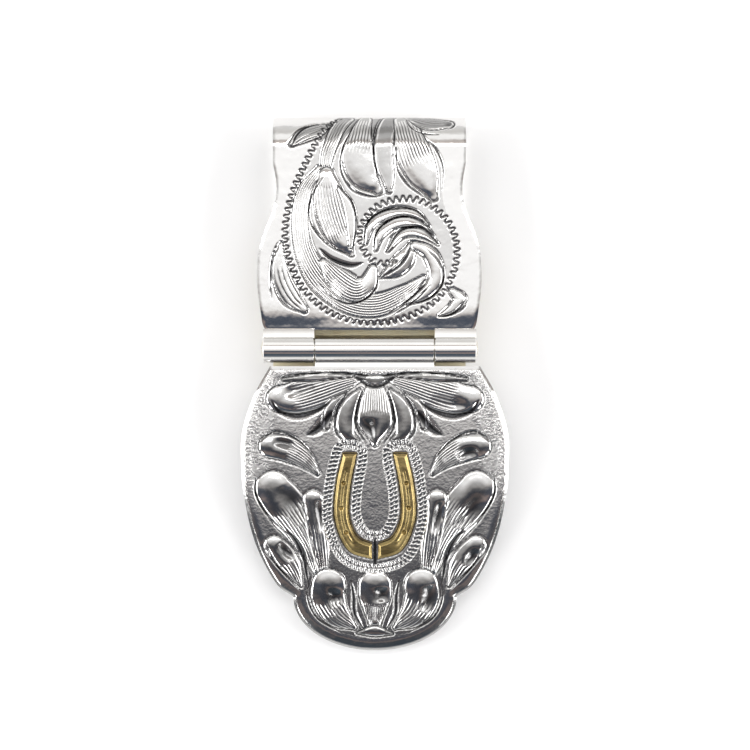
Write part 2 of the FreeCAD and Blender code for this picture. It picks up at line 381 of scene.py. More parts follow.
def engraved_silver():
    """Polished silver whose cuts have toned dark, with fine shading lines and a pebbled ground; its tone
    also carries painted shade and painted highlights.
    """
    metal = new_metal("engraved_silver")

    def engraving(name):
        return surface_node(metal, "ShaderNodeAttribute", {}, "Fac", attribute_name=name)

    def worked(operation, *values):
        return surface_node(metal, "ShaderNodeMath", dict(enumerate(values)), 0, operation=operation)

    turns = worked("MULTIPLY", engraving("phase"), 2 * math.pi)
    ridge = worked("ABSOLUTE", worked("COSINE", worked("MULTIPLY", turns, 0.5)))
    groove = worked("SUBTRACT", 1.0, ridge)
    fine_line = worked("MULTIPLY", worked("POWER", groove, 1.2), engraving("line"))
    grain = worked("MULTIPLY", mottle(metal, 3800, 3), engraving("pebble"))
    lined = relief(metal, worked("SUBTRACT", 1.0, fine_line), LINE_DEPTH)
    pebbled = relief(metal, grain, PEBBLE_DEPTH, lined)
    handled = relief(metal, mottle(metal, 640, 2), DENT_DEPTH, pebbled)
    worn = relief(metal, mottle(metal, 1500, 6), WEAR_DEPTH, handled)

    cloud = worked("MULTIPLY", mottle(metal, 420, 4), 0.12)
    toned = worked("ADD", engraving("tone"), worked("SUBTRACT", cloud, 0.05))
    darkness = worked("MAXIMUM", toned, worked("MULTIPLY", fine_line, 0.9))
    colour = colour_between(metal, darkness, (0.78, 0.77, 0.755, 1), (0.040, 0.040, 0.042, 1))
    rough = worked("ADD", cloud, worked("MULTIPLY", darkness, 0.1))
    rough = worked("ADD", rough, worked("MULTIPLY", engraving("pebble"), 0.12))
    return finished(metal, colour, worked("ADD", rough, 0.07), worn)


silver_engraved = engraved_silver()
CROWN_REACH = 0.4          # strokes over the roll are let out this much, to run on past the crown
REACH_START = 17.0
REACH_OVER = 6.0


def around_roll(points):
    """Plan points above the roll, moved to their distance along the strip."""
    rolled = []
    for x, y in points:
        y += CROWN_REACH * min(max((y - REACH_START) / REACH_OVER, 0), 1)
        above = min(max((y - ROLL_START) / BEND_R, 0), 1)
        rolled.append((x, min(y, ROLL_START) + BEND_R * math.asin(above)))
    return rolled


def panel_half_width(along):
    """Half width of the panel, and of the roll that it comes from."""
    return np.where(along > PANEL_SIDE[-1][1], ROLL_HALF_WIDTH, width_at(PANEL_SIDE, along))


bm, panel_across, panel_along = sheet_grid(PANEL_COLUMNS, PANEL_ROWS)
roll_length = BEND_R * math.pi / 2
along = PANEL_EDGE + panel_along * (ROLL_START + roll_length - PANEL_EDGE)
panel = blank_plate(UPPER_X + panel_across * panel_half_width(along), along)

# The ground inside the scroll is matted a little grey, and the panel dips towards the hinge
SCROLL_GROUND_TONE = 0.22
DIP_DEPTH = 0.3            # half as deep in the middle, full at each side
DIP_LENGTH = 1.3
DIP_FULL_X = 7.0
scroll_edge = around_roll([
    (-3.7, 24.5), (-6.3, 22.0), (-8.8, 17.0), (-9.6, 13.6), (-9.5, 10.6), (-6.6, 5.2), (-1.6, 2.9),
    (1.6, 2.9), (7.0, 5.7), (8.8, 11.0), (8.1, 13.3), (7.2, 16.6), (7.3, 19.5), (6.5, 21.3),
    (5.2, 22.4), (5.2, 24.5)])
panel["tone"] = SCROLL_GROUND_TONE * within(panel, smooth_path(scroll_edge)[0])
dip = np.exp(-((panel["y"] - PANEL_EDGE) / DIP_LENGTH) ** 2)
outward = np.minimum(1, ((panel["x"] - UPPER_X) / DIP_FULL_X) ** 2)
panel["height"] -= DIP_DEPTH * dip * (0.5 + 0.5 * outward)

# The scroll's stem, its leaves and the petals that go over the roll
leaf(panel, around_roll([(-3.1, 24.5), (-4.3, 22.8), (-5.1, 20.7), (-5.4, 18.7)]), [0.9, 0.8, 0.7, 0.5],
     lines=6, tone=0.37)
leaf(panel, around_roll([(-1.0, 24.5), (-1.6, 22.4), (-1.8, 20.5), (-1.2, 18.6), (0.3, 17.1)]),
     [0.7, 1.1, 1.7, 1.6, 0.5], dome=0.2, lines=9, lined=(0, 0.5), tone=0.2, tip=0.12)
leaf(panel, around_roll([(1.7, 24.5), (1.0, 22.2), (1.0, 20.1), (1.4, 18.2), (1.5, 17.0)]),
     [0.9, 1.0, 1.0, 0.9, 0.3], dome=0.12, tone=0.32)
leaf(panel, around_roll([(3.0, 24.4), (3.9, 21.6), (4.7, 19.6), (5.6, 17.9), (6.3, 16.4)]),
     [1.0, 1.5, 1.9, 1.6, 0.5], dome=0.2, lines=11, lined=(0, 0.62), tone=0.15, tip=0.12)
leaf(panel, around_roll([(3.6, 24.6), (5.6, 24.1), (7.9, 23.9)]), [0.5, 1.2, 0.7], lines=6, tone=0.52)
leaf(panel, around_roll([(-8.9, 21.8), (-7.6, 22.7), (-6.0, 23.3), (-4.9, 23.8)]), [0.4, 0.9, 0.9, 0.3],
     lines=4, tone=0.42)
leaf(panel, [(-6.0, 19.3), (-7.6, 17.0), (-8.1, 13.9), (-7.6, 10.5), (-5.8, 7.4), (-2.9, 5.1), (0.3, 4.7),
             (3.2, 6.0), (5.2, 7.6)], [0.4, 0.8, 0.9, 1.1, 1.4, 1.3, 1.3, 1.0, 0.3], dome=0.1, lines=10,
     tone=0.17)
leaf(panel, [(-5.2, 18.8), (-4.9, 16.2), (-4.3, 13.9), (-3.5, 11.8), (-2.5, 10.2)],
     [0.8, 1.7, 1.9, 1.5, 0.25], dome=0.22, lines=12, lined=(0.1, 0.8), tone=0.12, tip=0.14)
leaf(panel, [(-3.9, 17.3), (-2.9, 15.5), (-2.5, 13.4), (-2.6, 11.0)], [0.2, 0.55, 0.55, 0.2], dome=0.16,
     level=0.02, tone=0.12)
leaf(panel, [(-5.6, 9.3), (-4.1, 7.6), (-2.2, 6.4), (-0.8, 7.0), (-0.2, 8.6)], [0.4, 1.2, 1.4, 1.1, 0.5],
     dome=0.2, level=-0.04, lines=9, tone=0.12, lined=(0, 0.75))
leaf(panel, [(0.6, 7.7), (2.3, 8.7), (3.4, 9.9), (4.0, 11.2)], [0.1, 0.9, 1.0, 0.4], dome=0.2, tone=0.27)
leaf(panel, [(4.3, 11.1), (5.7, 10.4), (6.5, 8.9), (6.5, 7.4), (5.4, 6.0), (3.3, 4.9)],
     [0.5, 0.8, 0.85, 0.8, 0.55, 0.15], dome=0.24, level=-0.06, tone=0.11)
leaf(panel, [(-1.0, 11.4), (-0.5, 13.2), (0.7, 14.2), (2.5, 14.7), (4.4, 14.4), (5.8, 13.2)],
     [0.2, 0.5, 0.6, 0.6, 0.45, 0.1], dome=0.26, tilt=-0.1, tone=0.13)
leaf(panel, [(0.1, 10.7), (0.6, 12.3), (1.9, 13.4), (3.6, 13.7), (5.2, 13.0), (6.3, 12.1)],
     [0.2, 0.5, 0.6, 0.55, 0.4, 0.1], dome=0.26, tilt=-0.1, tone=0.13)
leaf(panel, [(1.4, 10.6), (2.4, 12.0), (3.6, 12.6), (5.2, 12.3), (6.8, 11.2)], [0.2, 0.5, 0.55, 0.4, 0.1],
     dome=0.26, tilt=-0.1, tone=0.13)
leaf(panel, [(-10.1, 11.3), (-10.3, 9.3), (-9.9, 7.2), (-8.9, 5.4), (-7.6, 4.2)],
     [0.2, 0.7, 1.1, 1.1, 0.4], dome=0.16, lines=4, lined=(0.3, 1.0), tone=0.17)
leaf(panel, [(8.3, 6.2), (9.1, 5.3), (8.3, 4.3), (6.9, 3.6)], [0.4, 0.75, 0.5, 0.1], dome=0.2, tone=0.22)

# The bold flared cuts beside them
for width, stroke in (
        (0.17, [(-2.4, 23.4), (-3.5, 21.3), (-3.7, 19.3), (-2.5, 17.2), (-0.4, 16.4), (1.3, 16.7)]),
        (0.15, [(0.7, 24.6), (0.0, 23.4), (-0.2, 20.9), (0.2, 18.9), (1.0, 17.0)]),
        (0.17, [(2.3, 21.5), (2.4, 19.4), (3.6, 17.6), (6.0, 15.9)]),
        (0.16, [(5.2, 22.4), (6.5, 21.3), (7.3, 19.5), (7.2, 16.8)]),
        (0.13, [(3.2, 24.6), (3.8, 23.5), (5.4, 22.8), (7.1, 22.7)]),
        (0.22, [(-9.1, 21.3), (-8.3, 22.8), (-7.2, 23.6), (-5.4, 23.9)]),
        (0.14, [(-5.4, 18.7), (-6.9, 16.2), (-6.9, 13.6), (-5.0, 11.2), (-2.5, 10.0)]),
        (0.14, [(-3.9, 17.4), (-2.5, 15.8), (-2.1, 13.6), (-2.4, 10.4)]),
        (0.42, [(-6.1, 10.9), (-4.6, 9.6), (-2.7, 9.0), (-1.2, 9.3)]),
        (0.16, [(-6.3, 7.5), (-4.9, 5.8), (-3.1, 4.9), (-1.4, 5.2), (0.0, 6.5), (0.4, 8.6)]),
        (0.16, [(-1.2, 11.2), (-0.8, 13.5), (0.6, 14.7), (2.4, 15.1), (4.4, 14.9), (5.9, 13.3)]),
        (0.20, [(-0.2, 10.5), (0.2, 12.6), (1.6, 13.9), (3.4, 14.3), (5.2, 13.7), (6.3, 12.6)]),
        (0.26, [(1.2, 10.4), (2.3, 12.3), (3.6, 13.1), (5.4, 12.9), (6.9, 11.1)]),
        (0.26, [(3.8, 11.6), (3.6, 10.4), (2.6, 9.0), (0.6, 7.6)]),
        (0.17, [(5.2, 11.0), (6.9, 9.4), (7.3, 7.3), (6.0, 5.5), (3.4, 4.6)]),
        (0.16, [(1.3, 3.8), (3.6, 5.3), (5.6, 7.1)]),
        (0.15, [(1.9, 3.6), (4.0, 5.0), (6.0, 6.9)]),
        (0.16, [(-10.4, 11.7), (-11.1, 9.7), (-11.3, 7.4), (-11.1, 5.0)]),
        (0.22, [(9.9, 5.6), (9.0, 4.3), (7.8, 3.6), (6.7, 3.5)])):
    cut(panel, around_roll(stroke), width)
wriggle(panel, around_roll([
    (-3.7, 24.5), (-5.2, 23.5), (-6.3, 22.0), (-7.3, 20.1), (-8.8, 17.0), (-9.6, 13.6), (-9.5, 10.6),
    (-8.3, 7.4), (-6.6, 5.2), (-4.4, 3.7), (-1.6, 2.9), (1.6, 2.9), (4.6, 3.9), (7.0, 5.7), (8.5, 8.3),
    (8.8, 11.0), (8.1, 13.3), (6.6, 15.0), (4.7, 16.0), (2.4, 16.1), (0.2, 15.3), (-1.3, 13.5),
    (-1.6, 11.8), (-0.9, 10.1), (0.5, 9.2), (2.2, 9.3)]),
    pitch=0.74, swing=0.27, half_width=0.14, depth=0.08)

# The rim is eased with a file, less along the hinge
panel_rows = np.linspace(PANEL_EDGE, ROLL_START + roll_length, 160)
for side in (-1, 1):
    side_edge = np.column_stack([UPPER_X + side * panel_half_width(panel_rows), panel_rows])
    soften_rim(panel, side_edge, width=0.35, drop=0.1)
hinge_edge = np.array([(-20.0, PANEL_EDGE), (20.0, PANEL_EDGE)])
soften_rim(panel, hinge_edge, width=0.3, drop=0.06)


def on_strip(x, along, height):
    """Points at a height above the outer face of the strip, from the hinge and over the roll."""
    angle = np.clip((along - ROLL_START) / BEND_R, 0, None)
    radius = BEND_R + height
    y = HINGE_Y + np.minimum(along, ROLL_START) + radius * np.sin(angle)
    z = BEND_R + radius * np.cos(angle)
    return np.column_stack([x, y, z]) * MM


# What is cut over the roll is painted darker, as painted shade where the strip turns over
ROLL_PAINTED_SHADE = 0.3
over_roll = rising(panel["y"], ROLL_START - 0.6, 2.5)
panel["tone"] = np.minimum(panel["tone"] + ROLL_PAINTED_SHADE * over_roll * (panel["tone"] > 0.1), 1)
relieve(panel, PANEL_COLUMNS)
place_points(bm, on_strip(panel["x"], panel["y"], panel["height"]))
close_sheet(bm, panel_across, on_strip(panel["x"], panel["y"], -STRIP_T))
front_panel = make_piece("front_panel_engraved", bm, "front", silver_engraved,
                         ["front_panel"])
keep_engraving(front_panel, panel)

# ---------------------------------------------------------------------------------------------
# Flap. A thicker sterling plate, bowed so that its tip closes on the back. A ring of leaves is
# carved round the applied horseshoe, the ground between them is pebbled with a punch, and the rim
# is left plain.

FLAP_T = 1.3
FLAP_EDGE = 1.85           # hinge axis to flap edge
FLAP_TOP_Z = 6.5
FLAP_SLOPE_DEG = 2.5
FLAP_BOW_R = 220.0
TONGUE_HALF_WIDTH = 8.85
TONGUE_Y = -26.8
FLAP_SIDE = [(11.3, -FLAP_EDGE), (12.95, -4.8), (14.25, -8.7), (14.42, -12.0), (14.1, -16.2),
             (12.9, -21.1), (10.75, -25.3), (TONGUE_HALF_WIDTH, TONGUE_Y)]
FLAP_COLUMNS = 262
FLAP_ROWS = 300
FLAP_TIP_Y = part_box("flap_plate")[0].y / MM - HINGE_Y
TONGUE_SHARE = 0.25        # share of the mesh's rows that the round tongue takes
BLUNT_TIP_DEG = 86.0       # the tongue's last row stands just short of a point
tongue_length = TONGUE_Y - FLAP_TIP_Y

bm, flap_across, flap_along = sheet_grid(FLAP_COLUMNS, FLAP_ROWS)
turn = np.radians(BLUNT_TIP_DEG) * np.clip((TONGUE_SHARE - flap_along) / TONGUE_SHARE, 0, 1)
along = TONGUE_Y + (-FLAP_EDGE - TONGUE_Y) * rising(flap_along, TONGUE_SHARE, 1 - TONGUE_SHARE)
along -= tongue_length * np.sin(turn)
half_width = np.where(turn > 0, TONGUE_HALF_WIDTH * np.cos(turn), width_at(FLAP_SIDE, along))
flap = blank_plate(flap_across * half_width, along)

flap_outline, _ = smooth_path(FLAP_SIDE)
tongue_turns = np.radians(np.linspace(0, 90, 24))
tongue_outline = np.column_stack([TONGUE_HALF_WIDTH * np.cos(tongue_turns),
                                  TONGUE_Y - tongue_length * np.sin(tongue_turns)])
flap_outline = np.vstack([[(0, -FLAP_EDGE)], flap_outline, tongue_outline])
flap_outline = np.vstack([flap_outline, flap_outline[::-1] * (-1, 1)])

# The ground is sunk and lightly pebbled, and darker towards the tongue. The margin round it is
# punched all over beside the hinge, and falls away as a bevel round the lower end that is painted darker,
# as painted shade.
GROUND_DEPTH = 0.1
GROUND_EDGE = 0.9          # this one and the next three are distances in from the rim
PUNCHED_EDGE = 0.3
PUNCHED_END = 3.6
BEVEL_END = 1.3
BEVEL_DEPTH = 0.24
UPPER_START = -19          # the margin changes from one kind to the other over these rows
LOWER_START = -14
MARGIN_BLEND = 6
margin = soften_rim(flap, flap_outline, width=0.38, drop=0.2)
ground = rising(margin, GROUND_EDGE, 0.5)
flap["height"] -= GROUND_DEPTH * ground
upper = rising(flap["y"], UPPER_START, MARGIN_BLEND)
punched = upper * rising(margin, PUNCHED_EDGE, 0.2) * np.clip(PUNCHED_END - margin, 0, 1)
flap["pebble"] = np.maximum(0.3 * ground, punched)
lower = np.clip((LOWER_START - flap["y"]) / MARGIN_BLEND, 0, 1)
bevelled = lower * np.clip(1 - margin / BEVEL_END, 0, 1)
flap["height"] -= BEVEL_DEPTH * bevelled
flap["tone"] = 0.05 + np.interp(flap["y"], (-24, -12, -6), (0.5, 0.3, 0.14)) * ground
# Painted shade: the lower bevel is painted darker
flap["tone"] += 0.4 * np.clip(3 * bevelled, 0, 1) * (1 - 0.5 * ground)


def both(points):
    """A stroke and its mirror image."""
    return points, [(-x, y) for x, y in points]


# Leaves round the edge: a fan under the hinge, side leaves, and three buds on the tongue
for stroke in both([(-1.5, -3.1), (-4.2, -3.9), (-6.6, -4.7), (-8.8, -5.3), (-10.3, -5.4)]):
    leaf(flap, stroke, [0.4, 1.2, 1.8, 1.85, 1.45], lines=11, lined=(0.0, 0.86), dome=0.24, scoop=0.3,
         tone=0.36)
for stroke in both([(-2.5, -2.9), (-6.0, -3.0), (-9.9, -3.3)]):
    leaf(flap, stroke, [0.15, 0.45, 0.2], dome=0.14, tone=0.60)
for stroke in both([(-1.7, -4.5), (-2.7, -6.0), (-3.2, -7.8), (-2.9, -9.2), (-1.9, -9.9)]):
    leaf(flap, stroke, [0.3, 0.8, 1.0, 0.9, 0.3], dome=0.22, tone=0.60)
for stroke in both([(-3.3, -4.9), (-4.7, -6.2), (-5.3, -8.4)]):
    leaf(flap, stroke, [0.15, 0.55, 0.4], dome=0.18, tone=0.65)
leaf(flap, [(0.0, -4.1), (0.0, -6.0), (0.0, -8.2), (0.0, -10.2)], [1.0, 1.7, 1.8, 0.4], lines=13,
     lined=(0, 0.5), dome=0.31, tone=0.60, scoop=0.35)
leaf(flap, [(-2.1, -2.9), (0.0, -3.4), (2.1, -2.9)], [0.1, 0.55, 0.1], dome=0.20, tone=0.80)
for stroke in both([(-6.2, -24.2), (-7.0, -21.4), (-8.4, -18.8), (-9.9, -16.6), (-11.0, -15.1)]):
    leaf(flap, stroke, [0.5, 1.3, 1.9, 2.25, 2.0], lines=12, lined=(0, 0.8), dome=0.31, scoop=0.3,
         tone=0.60)
for stroke in both([(-5.5, -24.2), (-5.8, -21.4), (-6.2, -18.6), (-6.7, -16.2)]):
    leaf(flap, stroke, [0.4, 0.95, 1.15, 1.1], lines=6, lined=(0, 0.7), dome=0.29, scoop=0.3, tone=0.60)
for stroke in both([(-8.0, -25.6), (-9.0, -23.6), (-10.1, -22.1), (-10.9, -21.3)]):
    leaf(flap, stroke, [0.2, 0.9, 1.25, 1.2], lines=6, lined=(0, 0.6), dome=0.29, scoop=0.3, tone=0.62)
for stroke in both([(-6.2, -13.4), (-7.6, -11.9), (-9.5, -10.8), (-11.3, -10.5)]):
    leaf(flap, stroke, [0.3, 1.0, 1.4, 1.3], lines=9, lined=(0, 0.7), dome=0.29, scoop=0.3, tone=0.60)
for stroke in both([(-2.2, -30.2), (-4.2, -28.7), (-5.1, -26.9), (-5.0, -25.6)]):
    leaf(flap, stroke, [0.3, 1.3, 1.8, 1.85], lines=9, lined=(0, 0.74), dome=0.32, scoop=0.3, tone=0.60)
leaf(flap, [(0.0, -29.6), (0.0, -28.2), (0.0, -26.9), (0.0, -25.7)], [0.8, 1.3, 1.75, 1.8], lines=14,
     lined=(0, 0.55), dome=0.32, scoop=0.3, tone=0.60)
leaf(flap, [(-2.0, -30.8), (0.0, -30.6), (2.0, -30.9)], [0.1, 0.62, 0.08], dome=0.22, tone=0.58)

# Flared cuts that undercut the leaves, the wider the deeper
for width, stroke in (
        (0.55, [(-11.2, -5.5), (-10.3, -6.7), (-8.4, -7.2), (-6.4, -6.7), (-4.8, -5.7)]),
        (0.8, [(-7.3, -9.3), (-6.0, -8.5), (-4.6, -6.7)]),
        (0.14, [(-10.9, -3.9), (-9.7, -2.9), (-6.6, -2.6), (-2.6, -2.5)]),
        (0.26, [(-1.3, -4.4), (-1.9, -6.4), (-2.0, -8.4), (-0.9, -10.3)]),
        (0.22, [(-2.9, -4.6), (-4.1, -6.6), (-4.3, -8.8), (-3.2, -10.3)]),
        (0.16, [(-12.9, -13.2), (-12.7, -16.2), (-10.9, -18.6), (-8.9, -20.3)]),
        (0.42, [(-9.6, -19.3), (-8.0, -21.6), (-7.2, -25.4)]),
        (0.15, [(-12.0, -20.6), (-10.7, -23.2), (-8.0, -26.3)]),
        (0.15, [(-7.0, -24.6), (-7.3, -27.0), (-6.2, -29.2), (-3.6, -30.8)]),
        (0.4, [(-2.6, -25.0), (-2.3, -26.8), (-2.2, -28.6), (-1.2, -30.4)]),
        (0.14, [(-13.0, -10.6), (-10.8, -8.9), (-8.2, -9.9), (-6.5, -11.8)])):
    for side in both(stroke):
        cut(flap, side, width, depth=0.14 + 0.1 * width)
cut(flap, [(-2.6, -2.7), (-1.2, -3.7), (0.0, -4.1), (1.2, -3.7), (2.6, -2.7)], 0.26)

# The twisted-rope border round the horseshoe: two rows of leaning nicks with a ridge between
SHOE_Y = -17.0             # horseshoe's middle, from the hinge axis
ROPE_PITCH = 0.48
ROPE_HALF_WIDTH = 0.52
ROPE_LEAN = 0.4            # how far a nick leans over half the rope's width, in pitches
ROPE_DEPTH = 0.07
NICK_DEPTH = 0.13
RIDGE_SHARE = 0.12
rope_half = [(0.0, -3.2), (1.2, -2.7), (2.0, -0.9), (1.9, 1.9), (1.3, 5.4), (1.7, 6.4), (2.8, 6.7),
             (4.0, 6.2), (4.9, 2.6), (5.1, -1.6), (3.5, -5.5), (0.0, -6.7)]
rope = [(x, SHOE_Y + y) for x, y in rope_half + [(-x, y) for x, y in rope_half[-2::-1]]]
index, along, side, _ = beside(flap, rope, ROPE_HALF_WIDTH)
across = np.abs(side) / ROPE_HALF_WIDTH
channel = 1 - np.abs(across - 0.5) * 2
flap["phase"][index] = along / ROPE_PITCH + ROPE_LEAN * np.sign(side) * across
flap["line"][index] = np.clip(channel * 3, 0, 1)
nicks = 0.5 + 0.5 * np.cos(2 * math.pi * flap["phase"][index])
flap["height"][index] = -GROUND_DEPTH
flap["incised"][index] = (ROPE_DEPTH - NICK_DEPTH * nicks) * channel
flap["tone"][index] = 1.3 * (1 - nicks) * channel + 0.7 * (across < RIDGE_SHARE)
flap["pebble"][index] = 0

# A line is cut round each half of the horseshoe and down the slot at its toe, painted dark as painted
# shade beside the raised brass
SHOE_OUTER = [(0.35, -5.7), (2.9, -4.7), (4.3, -1.4), (4.15, 2.3), (3.4, 5.7)]
SHOE_INNER = [(0.35, -4.1), (1.95, -3.3), (2.85, -1.1), (2.7, 2.1), (2.0, 5.7)]
for shoe_edge in (SHOE_OUTER, SHOE_INNER, [SHOE_OUTER[-1], SHOE_INNER[-1]]):
    for side in both([(x, SHOE_Y + y) for x, y in shoe_edge]):
        cut(flap, side, 0.22, depth=0.08, fullness=0.1)
cut(flap, [(0.0, SHOE_Y - 6.2), (0.0, SHOE_Y - 3.6)], 0.4, depth=0.1, fullness=0.15)


def on_flap(x, along, height):
    """Points at a height above the flap's bowed face."""
    slope = math.radians(FLAP_SLOPE_DEG)
    middle_y = HINGE_Y - FLAP_EDGE + FLAP_BOW_R * math.sin(slope)
    middle_z = FLAP_TOP_Z - FLAP_BOW_R * math.cos(slope)
    face_z = middle_z + np.sqrt(FLAP_BOW_R ** 2 - (HINGE_Y + along - middle_y) ** 2)
    return np.column_stack([x, HINGE_Y + along, face_z + height]) * MM


relieve(flap, FLAP_COLUMNS, passes=4)
place_points(bm, on_flap(flap["x"], flap["y"], flap["height"]))
close_sheet(bm, flap_across, on_flap(flap["x"], flap["y"], -FLAP_T))
flap_plate = make_piece("flap_plate_engraved", bm, "flap", silver_engraved,
                        ["flap_plate"])
keep_engraving(flap_plate, flap)

# ---------------------------------------------------------------------------------------------
# Barrel. Three lengths of 3 mm silver tube on one pin: the outer two are soldered to the panel
# and the middle one to the flap. Their undersides are filed flat for the spring to bear on, and
# the middle one has a second flat that holds the flap open.

BARREL_R = 1.5
CAM_FLAT = 1.36
TUBE_CHAMFER = 0.09
PIN_R = 0.7
PIN_PLAY = 0.05            # the pin is tight in the outer tubes and turns in the middle one
FLAP_OPEN_DEG = joints["flap_hinge"]["range_deg"][1]
TUBE_STEPS = 96


def polished_silver():
    """Bright silver with the faint scratches and haze of a pocket."""
    metal = new_metal("polished_silver")
    scratches = mottle(metal, 1.0, 5, stretch=(260, 2600, 2600))
    cloud = mottle(metal, 300, 4)
    colour = colour_between(metal, cloud, (0.92, 0.91, 0.90, 1), (0.80, 0.78, 0.74, 1))
    haze = graded(metal, cloud, 0.07, 0.2, start=0.3, end=0.75)
    return finished(metal, colour, haze, relief(metal, scratches, 0.0000015))


silver_polished = polished_silver()


def turned(profile):
    """Turn a closed (x, radius) profile round the hinge axis."""
    bm = bmesh.new()
    corners = [bm.verts.new((x, HINGE_Y, HINGE_Z + radius)) for x, radius in profile]
    edges = [bm.edges.new(pair) for pair in zip(corners, corners[1:] + corners[:1])]
    axis_point = (0, HINGE_Y, HINGE_Z)
    bmesh.ops.spin(bm, geom=corners + edges, cent=axis_point, axis=(1, 0, 0), dvec=(0, 0, 0),
                   angle=2 * math.pi, steps=TUBE_STEPS, use_merge=True)
    bmesh.ops.remove_doubles(bm, verts=bm.verts, dist=1e-5)
    bmesh.ops.recalc_face_normals(bm, faces=bm.faces)
    return bm


def file_flat(bm, facing_deg):
    """Press the points beyond a flat back onto it, as a file would leave them."""
    facing = Vector((0, math.cos(math.radians(facing_deg)), math.sin(math.radians(facing_deg))))
    axis_point = Vector((0, HINGE_Y, HINGE_Z))
    for vert in bm.verts:
        beyond = (vert.co - axis_point).dot(facing) - CAM_FLAT
        if beyond > 0:
            vert.co -= facing * beyond


def to_metres(bm):
    """Scale a bmesh drawn in millimetres."""
    bmesh.ops.scale(bm, vec=(MM, MM, MM), verts=bm.verts)


for name, body, flats, bore in (
        ("left_knuckle", "front", [-90], PIN_R),
        ("right_knuckle", "front", [-90], PIN_R),
        ("middle_knuckle", "flap", [-90, FLAP_OPEN_DEG - 90], PIN_R + PIN_PLAY)):
    low, high = (corner.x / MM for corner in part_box(name))
    bm = turned([(low, bore), (low, BARREL_R - TUBE_CHAMFER), (low + TUBE_CHAMFER, BARREL_R),
                 (high - TUBE_CHAMFER, BARREL_R), (high, BARREL_R - TUBE_CHAMFER), (high, bore)])
    for facing in flats:
        file_flat(bm, facing)
    to_metres(bm)
    make_piece(name + "_tube", bm, body, silver_polished, [name], crease_deg=30)

# ---------------------------------------------------------------------------------------------
# Hinge pin. Nickel silver wire pushed through the tubes, its two ends peened to low domes.

PEEN_R = 1.0
PEEN_HEIGHT = 0.22
PEEN_TURNS_DEG = [4, 20, 40, 60, 78, 90]


def nickel_silver():
    """Drawn wire, a little warmer than silver, with dull hammered ends."""
    metal = new_metal("nickel_silver")
    dents = mottle(metal, 2600, 4)
    rough = graded(metal, dents, 0.16, 0.42)
    return finished(metal, (0.78, 0.74, 0.66, 1), rough, relief(metal, dents, 0.00002))


silver_nickel = nickel_silver()
pin_low, pin_high = (corner.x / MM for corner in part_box("hinge_pin"))
dome = [(pin_low + PEEN_HEIGHT * (1 - math.cos(turn)), PEEN_R * math.sin(turn))
        for turn in np.radians(PEEN_TURNS_DEG)]
far_dome = [(pin_low + pin_high - x, radius) for x, radius in reversed(dome)]
bm = turned(dome + [(pin_low + PEEN_HEIGHT, PIN_R), (pin_high - PEEN_HEIGHT, PIN_R)] + far_dome)
bmesh.ops.holes_fill(bm, edges=[edge for edge in bm.edges if edge.is_boundary], sides=0)
to_metres(bm)
make_piece("hinge_pin_peened", bm, "front", silver_nickel, ["hinge_pin"],
           crease_deg=40)

# ---------------------------------------------------------------------------------------------
# Solder webs. Short silver tabs join the panel to the outer tubes and the flap to the middle
# one, each with a small fillet of solder running up the tube.

WEB_START = 0.1            # how far inside its plate's edge a tab starts
WEB_END_Y = 1.1
WEB_DIP = 0.03


def solder_web(name, body, tube, edge, direction, top_z, thickness):
    """A tab from a plate's edge to a tube, dipping where the solder has run to a fillet."""
    low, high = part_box(tube)
    start = edge + WEB_START
    bm = bmesh.new()
    bmesh.ops.create_grid(bm, x_segments=2, y_segments=10, size=0.5)
    for vert in bm.verts:
        reach = vert.co.y + 0.5
        x = low.x / MM + (vert.co.x + 0.5) * (high.x - low.x) / MM
        y = HINGE_Y + direction * (start + (WEB_END_Y - start) * reach)
        vert.co = (x, y, top_z - WEB_DIP * math.sin(math.pi * reach))
    bmesh.ops.solidify(bm, geom=bm.faces[:], thickness=thickness)
    bmesh.ops.recalc_face_normals(bm, faces=bm.faces)
    to_metres(bm)
    make_piece(name, bm, body, silver_polished)


for side in ("left", "right"):
    solder_web("panel_web_" + side, "front", side + "_knuckle", PANEL_EDGE, direction=1,
               top_z=panel_high.z - 0.1, thickness=0.85)
solder_web("flap_web", "flap", "middle_knuckle", FLAP_EDGE, direction=-1,
           top_z=FLAP_TOP_Z - 0.2, thickness=1.0)

# ---------------------------------------------------------------------------------------------
# Leaf spring and its studs. A strip of spring bronze under the panel, peened onto two studs, that
# presses on the flats of the barrel. Only its edge shows, through the slits beside the tubes.


def brass(name, clean, stained, polish):
    """Rolled or filed yellow metal with streaks along X and a brown tarnish in patches."""
    metal = new_metal(name)
    streaks = mottle(metal, 1.0, 6, stretch=(900, 2400, 2400))
    stain = graded(metal, mottle(metal, 520, 4), 0, 1, start=0.42, end=0.8)
    rough = graded(metal, streaks, polish, polish + 0.22)
    colour = colour_between(metal, stain, clean, stained)
    return finished(metal, colour, rough, relief(metal, streaks, 0.000012))


spring_bronze = brass("spring_bronze", (1.0, 0.94, 0.74, 1), (0.95, 0.85, 0.62, 1), 0.6)
for node, material in (("leaf_spring", spring_bronze), ("spring_studs", silver_nickel)):
    cad_piece = frame["nodes"][node]
    cad_piece.data.materials.clear()
    cad_piece.data.materials.append(material)

# ---------------------------------------------------------------------------------------------
# Horseshoe. A plain good-luck motif cut from brass strip in two halves, soldered to the flap with
# a slot left between them at the toe. The edges are filed to a bevel, and each half has a
# shallow fuller with three nail holes punched in it.

SHOE_HEIGHT = 0.45
SHOE_SINK = 0.05           # how deep its underside is bedded in the solder
SHOE_BEVEL = 0.32
BEVEL_DROP = 0.24
FULLER_ENDS = (0.16, 0.88)  # as shares of a half's length, as its fade and the nail places are
FULLER_FADE = 0.05
FULLER_WIDTH = 0.22        # as a share of the strip's half width
FULLER_DEPTH = 0.09
NAIL_PLACES = [0.3, 0.52, 0.74]
NAIL_R = 0.17
NAIL_DEPTH = 0.2
brass_yellow = brass("brass_filed", (0.43, 0.33, 0.145, 1), (0.15, 0.105, 0.045, 1), 0.16)


